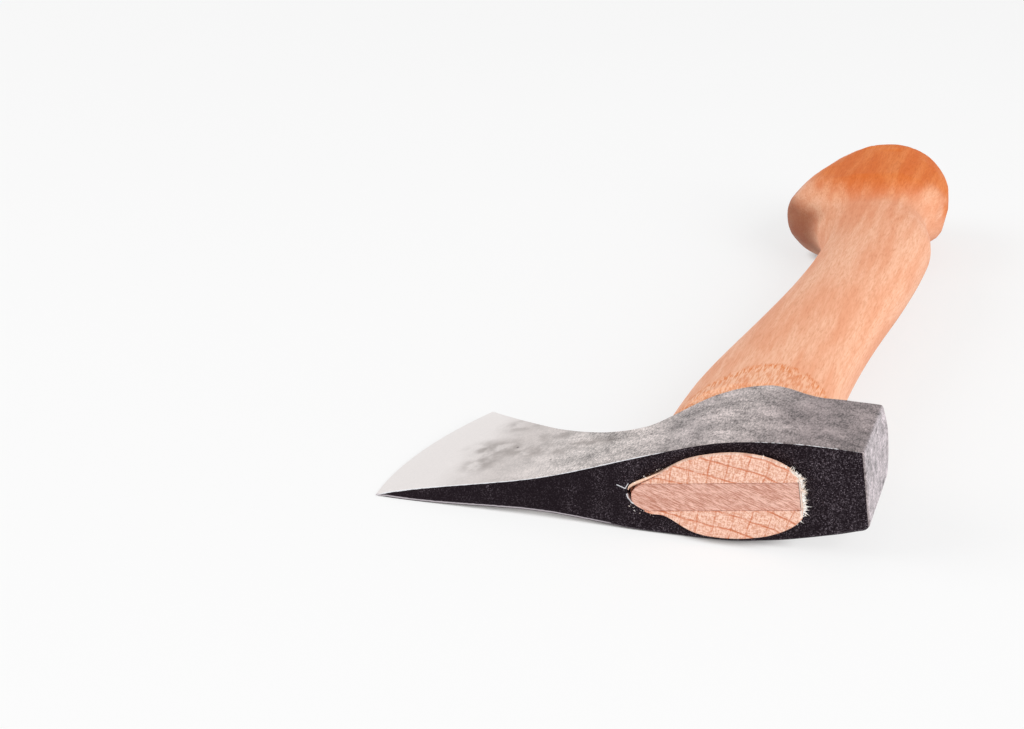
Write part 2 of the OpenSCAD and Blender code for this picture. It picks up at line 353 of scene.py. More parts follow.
def forgedSteel():
    # a ground bit that dulls towards the poll, with smoke and one smudge of painted shade along the hollow by the
    # back edge, smears, fine grain and pits, and a poll face made lighter, partly as painted light from the lamps on
    # the right;
    # black forge scale on the front and the underside, worn bright along its edges
    f = newFinish("forgedSteel")
    look, pattern = steelLook, steelLook["patterns"]
    place = f.hatchetPlace()
    x, y, z = f.parts(place)
    reach, black, worn = f.mark("reach"), f.mark("forgeScale"), f.mark("edgeWear")

    def over(name, a=0.0, b=1.0):
        # from a to b over the named span of the head
        return f.step(reach, *look["spans"][name], a, b)
    cloud = f.noise(place, *pattern["cloud"])
    smear = f.noise(f.vector((x + y * 0.8) / 1.8, (y - x * 0.3) / 2, z), *pattern["smear"])
    pepper = f.noise(f.vector(x, y / 2.4, z), *pattern["pepper"])
    blotch = f.noise(f.vector((x + y * 0.5) / 1.5, y / 2, z), *pattern["blotch"])
    dull = over("dull")  # 0 on the bit, 1 on the neck
    coarse = over("coarse") * over("poll", 1, 0.9)  # 0 on the blade, 1 beside the eye

    along = reach / head["length"] + (cloud - 0.5) * 0.12 * over("cloudless", 1, 0)
    ground = f.ramp(along, [(share, look[k]) for share, k in look["along"]])
    tone = 1 + (coarse * 0.75 + dull * 0.2 + 0.05) * (pepper - 0.5) * look["pepper"]
    tone = tone + (coarse * 0.65 + dull * 0.35) * (smear - 0.5) * look["smear"]
    ground = f.colour(1.0, ground, tone, "MULTIPLY")
    # smudges of soot, and one of painted shade along the hollow by the back edge
    sootAndShade = 0.0
    for smudgeX, smudgeY, wide, tall, strength in look["sootAndShade"]:
        away = f.vector((x - smudgeX) / wide, (y - smudgeY) / tall, 0.0)
        away = f.node("VectorMath", {"operation": "LENGTH"}, {0: away}, give="Value")
        sootAndShade = f.step(away, 0.1, 1.25, strength, 0) + sootAndShade
    wisps = f.noise(f.vector(x / 1.1, y / 1.5, z), *pattern["wisps"])
    sootAndShade = sootAndShade * f.step(wisps, 0.32, 0.66)
    stained = f.step(blotch, 0.54, 0.68) * over("stained", 0.45, 1) * coarse
    pit = f.step(f.cells(place, look["pitGap"]), 0.04, 0.075, 1, 0) * over("pitted")
    specks = f.step(f.noise(f.vector(x, y / 2.2, z), *pattern["specks"]), 0.6, 0.7)
    pit = pit.math("MAXIMUM", specks * f.step(cloud, 0.42, 0.62) * coarse * 0.8)
    for pitX, pitY, wide in look["pits"]:
        away = ((x - pitX) ** 2 + ((y - pitY) / 1.8) ** 2) ** 0.5
        pit = pit.math("MAXIMUM", f.step(away, wide * 0.5, wide, 1, 0))
    ground = f.layered(ground, look, ("smoke", sootAndShade * 0.75), ("blotch", stained * 0.75), ("pit", pit * 0.7))

    dusty = f.noise(place, *pattern["dusty"]) + over("dusty", -0.2, 0.04)
    dust = f.step(f.noise(place, *pattern["dust"]), 0.5, 0.73) * f.step(dusty, 0.3, 0.6, 0.2, 1)
    scale = f.colour(dust, look["black"], look["speck"])
    skin = f.colour(f.step(black + (blotch - 0.5) * 0.4, 0.35, 0.65), ground, scale)
    chips = f.noise(place, *pattern["chips"]) - 0.5
    bright = f.step(worn + chips * 1.4, 0.45, 0.7)
    for start, end, wide in look["scratches"]:
        bright = bright.math("MAXIMUM", f.scratch(x, z, start, end, wide) * f.step(y, 0.3, 1.0, 0.9, 0))
    lowGap = f.mark("lowGap") + chips * 0.3
    lowLine = f.step(lowGap, -0.2, 0.0) * f.step(lowGap, 0.15, 0.42, 1, 0) * f.step(y, 0.5, 0.9, 1, 0)
    lowLine = lowLine * over("lowWorn", 1, 0.1)
    skin = f.layered(skin, look, ("lowWorn", lowLine * 0.9), ("worn", bright * 0.9))

    roughness = over("rough", 0.28, 0.46) + pepper * 0.1 + black * 0.04 - bright * 0.1
    height = (pepper * 0.08 + smear * 0.1 + blotch * 0.1) * coarse + pepper * dull * 0.02 + cloud * 0.1 - pit * 0.08
    return f.surface(Base_Color=skin, Metallic=0.9, Roughness=roughness, Normal=f.bump(height))


beech = {
    "pithX": -46.0, "pithZ": -140.0, "ringWidth": 4.5, "rayGap": 4.9,
    "light": (246, 190, 157), "deep": (235, 164, 127), "fibre": (224, 148, 108), "fleck": (212, 130, 88),
    # the last colour on the next line is painted shade for the knob's lower left side, turned away from the lamps
    "raspDark": (220, 128, 68), "raspPale": (254, 208, 174), "oiled": (236, 174, 97), "soiled": (168, 137, 115),
    "endLight": (250, 212, 193), "endDeep": (222, 160, 133), "endLine": (206, 114, 72), "fray": (255, 246, 236),
    "raspTop": 65.5, "raspMiddle": 4.5, "raspCurve": 0.042,
    # each pattern's stretch along the haft, then its lumps' millimetres, detail and roughness
    "patterns": {"bend": (6, 20, 3, 0.55), "broken": (1, 2.2, 2, 0.55), "rayBend": (1, 9, 1, 0.55),
                 "fibre": (12, 0.5, 3, 0.65), "streak": (11, 5, 4, 0.6), "fleck": (7, 0.6, 2, 0.6),
                 "stroke": (9, 0.5, 2, 0.6)},
    "pores": (0.34, 2, 0.7)}


def haftWood():
    # rings round a pith outside the piece and rays that run out from it, which show on the sawn end; along the grain,
    # fine fibres and flecks, with a rasped band behind the head that ends in an arch
    f = newFinish("haftWood")
    look = beech
    x, y, z = f.parts(f.hatchetPlace())
    cut, frayed, oiled = f.mark("endGrain"), f.mark("frayed"), f.mark("oiled")

    def grained(name):
        # the named pattern, drawn out along the haft
        longer, *lumpy = look["patterns"][name]
        return f.noise(f.vector(x, y / longer, z), *lumpy)
    bend = grained("bend") - 0.5
    dx, dz = x - look["pithX"], z - look["pithZ"]
    radius = (dx * dx + dz * dz) ** 0.5 + bend * 4
    turned = dx.math("ARCTAN2", dz) * 150 + bend * 1.5
    ring = (radius / look["ringWidth"]).math("FRACT")
    late = f.step(ring, 0.83, 0.93) * f.step(ring, 0.95, 1.0, 1, 0)
    broken = grained("broken")
    ray = ((turned + grained("rayBend") * 1.6) / look["rayGap"]).math("PINGPONG", 0.5)
    ray = f.step(ray, 0.015, 0.06, 1, 0)

    fibre, streak, stroke = (grained(name) for name in ("fibre", "streak", "stroke"))
    fleck = f.step(grained("fleck"), 0.53, 0.7)
    fromMiddle = x - look["raspMiddle"]
    inside = look["raspTop"] - fromMiddle * fromMiddle * look["raspCurve"] - y
    rasped = f.step(inside + (stroke - 0.5) * 9, -0.8, 1.2)
    top = f.step(inside, 0, 9, 1.0, 0.5)
    line = f.step(inside.math("ABSOLUTE"), 0.3, 2.2, 1, 0) * f.step(broken, 0.4, 0.7)
    wood = f.layered(
        look["light"], look, ("deep", f.step(streak, 0.36, 0.64)), ("fibre", f.step(fibre, 0.36, 0.72) * 0.6),
        ("fleck", fleck * 0.38), ("raspPale", rasped * f.step(stroke, 0.5, 0.4) * 0.45),
        ("raspDark", rasped * f.step(stroke, 0.5, 0.6) * top), ("raspDark", line * 0.4),
        # the oil is thinner on surfaces that face right, which stay paler as a painted highlight
        ("oiled", f.step(oiled + (streak - 0.5) * 0.5, 0.0, 1.15), "MULTIPLY"),
        # painted shade on the knob's lower left side, turned away from the lamps
        ("soiled", f.mark("soiled"), "MULTIPLY"))

    weft, warp = f.vector(radius / 4, y / 10, turned), f.vector(radius, y / 10, turned / 4)
    pore = (f.noise(weft, *look["pores"]) + f.noise(warp, *look["pores"])) * 0.5
    sawn = f.layered(
        look["endLight"], look, ("endDeep", f.step(pore, 0.43, 0.57)),
        ("endLine", late * f.step(broken + pore * 0.4, 0.4, 0.8, 0.3, 0.9)),
        ("endLine", ray * f.step(broken - pore * 0.4, 0.05, 0.45, 0.9, 0.3)))
    wood = f.layered(f.colour(cut, wood, sawn), look, ("fray", frayed))
    height = fibre * 0.05 - fleck * 0.02 - rasped * stroke * 0.1 + cut * (pore * 0.08 - late * 0.05 - ray * 0.05)
    roughness = 0.46 + fibre * 0.12 + cut * 0.15 + frayed * 0.2 + oiled * 0.15
    return f.surface(Base_Color=wood, Roughness=roughness, Specular_IOR_Level=0.2, Normal=f.bump(height))


wedgeLook = {
    # line: a dark line round the driven end, partly the joint's own colour, partly painted shade in the gap to the
    # haft
    "light": (244, 200, 184), "deep": (182, 116, 93), "line": (180, 112, 86), "streakDeg": -27.0,
    # millimetres, detail and roughness of both patterns' lumps
    "streaks": (0.26, 4, 0.8), "broad": (2.6, 3, 0.6)}


def wedgeWood():
    # fine streaks that cross the driven end at a slant, and long fibres down the sides
    f = newFinish("wedgeWood")
    x, y, z = f.parts(f.hatchetPlace())
    slant = math.radians(wedgeLook["streakDeg"])
    c, s = math.cos(slant), math.sin(slant)
    along, across = x * c + z * s, z * c - x * s
    streak = f.noise(f.vector(along / 9, y / 8, across), *wedgeLook["streaks"])
    broad = f.noise(f.vector(along / 4, y / 8, across), *wedgeLook["broad"])
    wood = f.layered(wedgeLook["light"], wedgeLook, ("deep", f.step(streak * 0.8 + broad * 0.2, 0.38, 0.62)),
                     # the dark line round the driven end is partly painted shade in the gap to the haft
                     ("line", f.mark("rim") * f.step(broad, 0.3, 0.6, 0.5, 0.9)))
    return f.surface(Base_Color=wood, Roughness=0.5 + streak * 0.2, Normal=f.bump(streak * 0.05 + broad * 0.05))


fibreLook = {"pale": (255, 252, 248), "warm": (252, 232, 216), "shaving": (253, 214, 188), "warmSize": 1.4}


def fibreWood():
    # pale torn fibres, warmer in places
    f = newFinish("tornFibre")
    place = f.hatchetPlace()
    warm = f.step(f.noise(place, fibreLook["warmSize"], 2), 0.45, 0.65)
    tone = f.layered(fibreLook["pale"], fibreLook, ("warm", warm), ("shaving", f.mark("shaving")))
    return f.surface(Base_Color=tone, Roughness=0.6 + f.noise(place, 0.5, 1) * 0.2)


# Axe head

head = {
    "length": 140.0, "pollWall": 16.5, "cheekWall": 2.9, "pollThick": 22.4, "pollDepth": 36.0, "neckDepth": 25.5,
    "lugDepth": 44.0, "edgeDepth": 65.0, "edgeSweep": 14.5, "edgeBow": 5.0, "bevelLength": 5.0,
    "bevelThick": 2.1, "bladeThick": 8.8,
    "frontRound": 0.45, "lowerFrontRound": 0.5, "backRound": 0.9,  # along the four long edges
    "pollFrontRound": 0.4, "pollBackRound": 1.2, "pollTopRound": 0.6, "pollBottomRound": 2.6,
    "pollDome": 0.1, "pollBulge": 1.1, "noseChamfer": 0.25, "bulgeMiddle": 2.0, "bulgeHalf": 13.0,
    "eyeWindow": (-32.0, 30.0),
    # where each change starts, in millimetres from the edge, and over how many it runs
    "changes": {"trueBit": (0, 30), "lessWorn": (78, 14), "wornAgain": (104, 10), "pollDents": (128, 10),
                "bulge": (132, 8), "bare": (138.8, 0.8)}}
eye = {
    "length": 46.5, "width": 22.8, "belly": 4.5, "waist": 0.5, "nosePoint": 1.6, "noseMore": 2.5,
    "noseBlunt": 1.5, "lowFlat": 1.5}

toeX = eye["length"] / 2 + head["pollWall"] - head["length"]
bladeEndX = 1 - eye["length"] / 2
bladeReach = bladeEndX - toeX
lugReach = eye["belly"] + 2 - toeX
neckReach = -eye["length"] / 2 - 2.75 - toeX
beardSlope = -1.12 * (head["edgeDepth"] - head["neckDepth"]) / neckReach
throatReach = 0.74 * neckReach
cheekRows = [[0, 0, 0.21], [head["bevelLength"], head["bevelThick"] / 2, 0.14],
             [0.56 * bladeReach, head["bladeThick"] / 2, 0.1],
             [lugReach, eye["width"] / 2 + head["cheekWall"], 0], [head["length"], head["pollThick"] / 2, -0.14]]
# how much fuller the lower and the upper cheek are
lowFullRows = [[0, 0, 0], [20, 0.35, 0.01], [50, 0.55, 0.005], [72, 0.8, 0], [88, 0.1, -0.02], [98, 0, 0],
               [head["length"], 0, 0]]
topFullRows = [[0, 0, 0], [84, 0, 0], [104, 0.5, 0.01], [122, 0.55, 0], [head["length"], 0.1, -0.03]]
underRows = [[0, head["edgeDepth"], beardSlope],
             [throatReach, head["edgeDepth"] + beardSlope * throatReach, beardSlope],
             [neckReach, head["neckDepth"], 0],
             [15 - eye["length"] / 2 - toeX, head["lugDepth"] - 3.4, 0.55], [lugReach, head["lugDepth"], 0],
             [eye["length"] / 2 + 1 - toeX, head["pollDepth"] - 0.4, 0], [head["length"], head["pollDepth"], 0]]


def headX(reach, y):
    # near the edge a station follows the bowed, swept edge, and it straightens towards the neck
    v = y / head["edgeDepth"]
    edgeX = toeX + head["edgeSweep"] * v - 4 * head["edgeBow"] * v * (1 - v)
    return np.where(reach < bladeReach, blended(edgeX, bladeEndX, reach / bladeReach), toeX + reach)


def eyeOutline(a, grow, shorter=0.0):
    # an ellipse behind the belly, and ahead of it one whose sides are drawn to a nose by a power of the sine, with a
    # high power of the cosine added to blunt it; the lower side is flatter between the belly and the nose
    grow = np.asarray(grow, float)
    halfLength, halfWidth = eye["length"] / 2 + grow, eye["width"] / 2 + grow
    c, s = np.cos(a), np.sin(a)
    behind = c >= 0
    ahead = halfLength + eye["belly"] + eye["noseMore"] - shorter
    x = eye["belly"] + np.where(behind, halfLength - eye["belly"], ahead) * c
    blunt = np.where(behind, 0, eye["noseBlunt"] * c**8 * np.sqrt(np.clip(1 - c**60, 0, 1)))
    flatter = eye["lowFlat"] * eased((-c - 0.3) / 0.33) * (1 - eased((-c - 0.66) / 0.17)) * (s < 0)
    z = np.sign(s) * (halfWidth * np.abs(s) ** np.where(behind, 1, eye["nosePoint"]) + blunt - flatter)
    return x, z


def eyeWaist(y):
    # a parabola that is 0 at both faces of the head and deepest halfway
    return eye["waist"] * (1 - (2 * np.clip(y / head["lugDepth"], 0, 1) - 1) ** 2)


def pollInset(reach, radius):
    # how far a quarter round of that radius pulls an edge in, close to the poll face
    into = np.clip(reach - (head["length"] - radius), 0, radius)
    return radius - np.sqrt(radius**2 - into**2)


def headPatches():
    # sections across the head are rounded rectangles, carried from the edge to the poll; the eye is cut out of the
    # front and the underside as a ring of cells between its outline and the cells around it
    across, down, bends, rings, deep = 28, 64, 5, 7, 10  # cells on the flats, the rounds and about the eye
    bevel, closeUp = head["bevelLength"], head["length"] - 6  # stations crowd together towards the poll
    reach = np.concatenate([np.linspace(0, bevel, 9), np.linspace(bevel, bladeReach, 94)[1:],
                            np.linspace(bladeReach, closeUp, 72)[1:],
                            closeUp + 6 * np.sin(np.linspace(0, math.pi / 2, 18))[1:]])
    q, change = reach[:, None], head["changes"]
    half, under = throughRows(q, cheekRows), throughRows(q, underRows)
    y0, y1 = pollInset(q, head["pollFrontRound"]), under - pollInset(q, head["pollBackRound"])
    z1, z0 = half - pollInset(q, head["pollTopRound"]), pollInset(q, head["pollBottomRound"]) - half
    z0, z1 = z0 - throughRows(q, lowFullRows), z1 + throughRows(q, topFullRows)
    ft, fb, bk = (np.minimum(head[k], 0.6 * half) for k in ("frontRound", "lowerFrontRound", "backRound"))
    u, v = np.linspace(0, 1, across + 1), np.linspace(0, 1, down + 1)[1:]
    c = np.linspace(0, math.pi / 2, bends + 1)[1:]
    flat, bent = np.ones_like(u), np.ones_like(c)
    ys = [y0 * flat, y0 + ft * (1 - np.cos(c)), blended(y0 + ft, y1 - bk, v), y1 - bk * (1 - np.sin(c)),
          (y1 * flat)[:, 1:], y1 - bk * (1 - np.cos(c)), blended(y1 - bk, y0 + fb, v),
          (y0 + fb * (1 - np.sin(c)))[:, :-1]]
    zs = [blended(z0 + fb, z1 - ft, u), z1 - ft * (1 - np.sin(c)), z1 * np.ones_like(v), z1 - bk * (1 - np.cos(c)),
          blended(z1 - bk, z0 + bk, u)[:, 1:], z0 + bk * (1 - np.sin(c)), z0 * np.ones_like(v),
          (z0 + fb * (1 - np.cos(c)))[:, :-1]]
    turnedOut = c / (math.pi / 2)
    scale = [flat, 1 - turnedOut, 0 * v, turnedOut, flat[1:], 1 - turnedOut, 0 * v, bent[:-1]]
    crest = np.sin(2 * c)
    wear = [0 * flat, crest, 0 * v, crest * 0.5, 0 * flat[1:], crest * 0.5, 0 * v, 0 * bent[:-1]]
    y, z = np.concatenate(ys, 1), np.concatenate(zs, 1)
    swell = 1 - ((z - head["bulgeMiddle"]) / head["bulgeHalf"]) ** 2  # the poll swells to the rear
    bulge = np.clip(swell, 0, 1) ** 2 * y / head["pollDepth"]
    bulge = bulge * head["pollBulge"] * since(q, change["bulge"])
    skin = stacked(headX(q, y) + bulge, y, z)
    scale, wear = (np.concatenate(m) * np.ones_like(q) for m in (scale, wear))
    nearPoll = since(q, change["bare"])
    # the front's upper edge is less worn beside the eye
    unworn = 0.75 * since(q, change["lessWorn"]) - 0.4 * since(q, change["wornAgain"])
    wear[:, across + 1:across + 1 + bends] *= 1 - unworn
    lowGap = np.clip(z - z0 - fb, -9, 9)  # millimetres above the front's lower edge
    scale, wear = scale * (1 - nearPoll), wear * (1 - 0.5 * nearPoll)

    i1, i2 = (int(np.argmin(abs(reach + toeX - x))) for x in head["eyeWindow"])
    u0 = across + 2 * bends + down  # the underside's first column

    def outside(r, c):
        # whether a cell of the grid lies outside the eye's two openings
        return ~((r >= i1) & (r < i2) & ((c < across) | ((c >= u0) & (c < u0 + across))))
    patches = [gridPatch(skin, True, outside, reach=q, forgeScale=scale, edgeWear=wear, lowGap=lowGap)]

    rim = skin[-1]
    inwards = np.linspace(0, 1, 15)[:, None, None]
    pole = blended(rim, rim.mean(0), inwards)
    pole[..., 0] += head["pollDome"] * (1 - (1 - inwards[..., 0]) ** 2)
    patches.append(gridPatch(pole, True, reach=head["length"]))

    def around(low, high, toHigh):
        # the loop of skin points round the eye: along the low side, up, back along the high side, and down
        toLow = toHigh[::-1]
        return np.concatenate([skin[i1:i2, low], skin[i2, toHigh[:-1]], skin[i2:i1:-1, high], skin[i1, toLow[:-1]]])
    front = around(0, across, np.arange(across + 1))
    back = around(u0 + across, u0, np.arange(u0 + across, u0 - 1, -1))
    a = np.linspace(-math.pi, math.pi, 2001)
    ox, oz = eyeOutline(a, 0)
    angle = np.interp(np.arctan2(front[:, 2], front[:, 0] - eye["belly"]),
                      np.unwrap(np.arctan2(oz, ox - eye["belly"])), a)
    ox, oz = eyeOutline(angle, 0)
    noseShare = eased((-np.cos(angle) - np.where(oz < 0, 0.45, 0.72)) / 0.14)
    chamfer = head["noseChamfer"] * noseShare
    f = np.linspace(0, 1, deep + 1)[:, None]
    yTube = blended(chamfer, throughRows(ox - toeX, underRows), f)
    tx, tz = eyeOutline(angle, -eyeWaist(yTube))
    yTube = np.where(f == 1, throughRows(tx - toeX, underRows), yTube)
    tube = stacked(tx, yTube, tz)
    # the front's ring starts with a narrow chamfer in the nose
    lip = head["noseChamfer"] / np.linalg.norm(front - tube[0], axis=1)
    s = np.concatenate([lip * np.array([[0], [0.5]]), blended(lip, 1, np.linspace(0, 1, rings + 1)[:, None])])
    frontRing = blended(tube[0], front, s[..., None])
    frontRing[..., 1] = np.where(s < lip, chamfer * (1 - s / lip), blended(0, front[:, 1], s))
    lipWear = (s <= lip) * noseShare * np.where(tube[0][:, 2] < -0.2, 0.85, 0.25)
    patches.append(gridPatch(frontRing, True, reach=frontRing[..., 0] - toeX, forgeScale=1.0, edgeWear=lipWear,
                             lowGap=9.0))
    s = np.linspace(0, 1, rings + 1)[:, None, None]
    backRing = blended(tube[-1], back, s)
    backRing[..., 1] = np.where(s[..., 0] == 1, back[:, 1], throughRows(backRing[..., 0] - toeX, underRows))
    for ringPoints in (backRing, tube):
        patches.append(gridPatch(ringPoints, True, reach=ringPoints[..., 0] - toeX, forgeScale=1.0))
    return patches


# each kind of dent's lump size in millimetres and its depth
forging = {
    "wide": (14, 0.10), "small": (4.5, 0.05), "ragged": (3.5, 0.18), "chipped": (1.4, 0.1),
    "poll": (6, 0.25), "skin": 0.03}


def dented(points, kind, seed):
    # lumps of that kind's size, from 0 to its depth
    size, depth = forging[kind]
    return depth * (0.5 + 0.5 * lumps(points, size, seed))


def hammered(points, normals, marks):
    # the forged surface swells and dips: wide lumps, smaller dents, and ragged long edges; the bit stays true
    change = head["changes"]
    calm = since(marks["reach"], change["trueBit"]) * 0.9 + 0.1
    clear = eased((np.hypot((points[:, 0] - 1) / 29, points[:, 2] / 13.5) - 0.9) / 0.12)  # 0 round the eye
    dent = dented(points, "wide", 3) + dented(points, "small", 4)
    ragged = marks["edgeWear"] * (dented(points, "ragged", 5) + dented(points, "chipped", 6))
    poll = since(marks["reach"], change["pollDents"]) * dented(points, "poll", 7)
    inward = (dent * calm + poll) * np.maximum(clear, 0.15) + ragged * calm + forging["skin"]
    return points - normals * inward[:, None]


# Haft

haft = {
    "length": 327.0, "proud": 3.0, "spread": 0.9, "noseInset": 0.8, "shoulder": 2.0, "shoulderGap": 0.4,
    "eyeGap": 0.1, "swell": 6.0, "bow": 12.5, "gripWidth": 37.8, "gripThick": 26.6, "squareness": 2.3,
    "knobWidth": 62.0, "knobThick": 35.6, "nose": 49.0, "flare": 31.0, "buttRound": 12.0, "buttShare": 0.33,
    "facetRows": (268, 318, 6), "facetTurns": 9, "facetDepth": (0.5, 1.0), "facetReach": 18.0,
    "raspDip": 0.2, "toolMarks": 0.12, "throat": 1.2, "throatRun": 120.0, "endFlat": 22.4, "endFull": 0.76,
    # the end's rings: place, how far each has swollen, and how full its lower rear is
    "endRings": ((-2.98, 0.6, 1), (-2.92, 0.78, 1), (-2.7, 0.9, 1), (-2.0, 0.95, 1), (-1.0, 0.85, 1),
                 (-0.45, 0.35, 0.5), (-0.1, -0.1, 0)),
    # oil on the knob: where it starts, and its curve, middle and fade; it starts later on surfaces that face right,
    # which stay paler as a painted highlight
    "oilStart": 227.0, "oilCurve": 0.03, "oilMiddle": 8.0, "oilFade": 42.0, "oilLaterForHighlight": 16.0,
    "rimOil": 0.8, "gripOil": 0.3,
    # where each change starts along the haft, and over how many millimetres it runs
    "changes": {"rasp": (46, 3), "grip": (52, 15), "handled": (150, 70), "flank": (240, 16), "farSide": (246, 20),
                "knob": (250, 14)}}
# the wedge's sizes, which make the haft's slot as well
wedge = {
    "thick": 8.0, "tipThick": 1.6, "length": 33.0, "rearWood": 1.3, "gap": 0.05, "sunk": 0.3,
    "noseTrim": 1.2, "noseDeep": 1.6}

gripY = head["lugDepth"] + haft["shoulderGap"] + haft["swell"]
buttY = haft["length"] - haft["proud"]
knobY = buttY - haft["nose"]
flareY = knobY - haft["flare"]
slimY = blended(gripY, flareY, 0.51)
middleRows = [[gripY, 0, 0], [flareY - 28, haft["bow"], 0], [knobY, 1.2, 0], [buttY, 3.6, 0]]
widthRows = [[gripY, eye["length"] / 2, -0.04], [slimY, haft["gripWidth"] / 2, 0],
             [flareY, haft["gripWidth"] / 2 + 1.5, 0.05], [knobY, haft["knobWidth"] / 2, 0],
             [buttY, haft["knobWidth"] / 2, 0]]
thickRows = [[gripY, eye["width"] / 2 + haft["shoulder"], -0.01], [slimY, haft["gripThick"] / 2, 0],
             [flareY, haft["gripThick"] / 2, 0], [knobY, haft["knobThick"] / 2, 0],
             [buttY, haft["knobThick"] / 2, 0]]


def roundedOff(y, over, power):
    # what is left of a size before the butt: a superellipse arc that ends at the butt's share
    s = np.clip(1 - (buttY - y) / over, 0, 1)
    return blended(haft["buttShare"], 1, (1 - s**power) ** (1 / power))


def gripSection(a, y):
    # a superellipse about the bowed middle line
    def squarer(v):
        # the corners are pushed out by a power below 1
        return np.sign(v) * np.abs(v) ** (2 / haft["squareness"])
    width = throughRows(y, widthRows) * roundedOff(y, haft["nose"], 1.9)
    thick = throughRows(y, thickRows) * roundedOff(y, haft["buttRound"], 2)
    fuller = haft["throat"] * (1 - eased((y - gripY) / haft["throatRun"])) * np.clip(-np.cos(a), 0, 1)
    return throughRows(y, middleRows) + width * squarer(np.cos(a)) - fuller, thick * squarer(np.sin(a))


def kerfHalf(y):
    # half the wedge slot's thickness, which narrows evenly from the driven end to the tip
    slope = (wedge["thick"] - wedge["tipThick"]) / 2 / wedge["length"]
    return wedge["thick"] / 2 + wedge["gap"] - slope * (y + haft["proud"])


def slotLevel(angles, level, grow, shorter=0.0, trim=0.0):
    # one side of the slot at a level: the eye's outline, cut off at half the slot's thickness less the trim
    x, z = eyeOutline(angles, grow, shorter)
    return x, np.full_like(x, level), np.minimum(np.abs(z), kerfHalf(level) - trim)


endGrow = haft["spread"] - 0.3


def endSpread(a, grow):
    # the end has swollen over the rim by grow, except towards the nose, where it stays inside the hole
    return blended(np.asarray(grow, float), -haft["noseInset"], eased((-np.cos(a) - 0.4) / 0.4))


rearX = eye["length"] / 2 - wedge["rearWood"] + wedge["gap"]
rearAngle = math.acos((rearX - eye["belly"]) / (eye["length"] / 2 + endGrow - eye["belly"]))
fromSide = np.linspace(math.pi / 2, math.pi, 4001)
noseAngle = np.interp(-kerfHalf(-haft["proud"]), -eyeOutline(fromSide, endSpread(fromSide, endGrow))[1], fromSide)
rearCount, noseCount, turnCount = 9, 46, 60  # places of those two angles and of the nose in the list
halfTurn = np.concatenate([np.linspace(0, rearAngle, rearCount + 1),
                           np.linspace(rearAngle, noseAngle, noseCount - rearCount + 1)[1:],
                           np.linspace(noseAngle, math.pi, turnCount - noseCount + 1)[1:]])
ringAngles = np.concatenate([halfTurn, -halfTurn[-2:0:-1]])


def mirrored(x, y, z, between=0):
    # a closed loop from one side's points: along it, back along its mirror image, and so many points across the start
    loop = stacked(x, y, z)
    other = loop[..., ::-1, :] * (1, 1, -1)
    across = np.linspace(-1, 1, between + 2)[1:-1, None]
    closing = loop[..., :1, :] * np.concatenate([np.ones_like(across), np.ones_like(across), across], 1)
    return np.concatenate([loop, other, closing], axis=-2)


def flattened(x):
    # past the flat at the rear only a twelfth of the length is left
    return np.where(x > haft["endFlat"], haft["endFlat"] + (x - haft["endFlat"]) / 12, x)


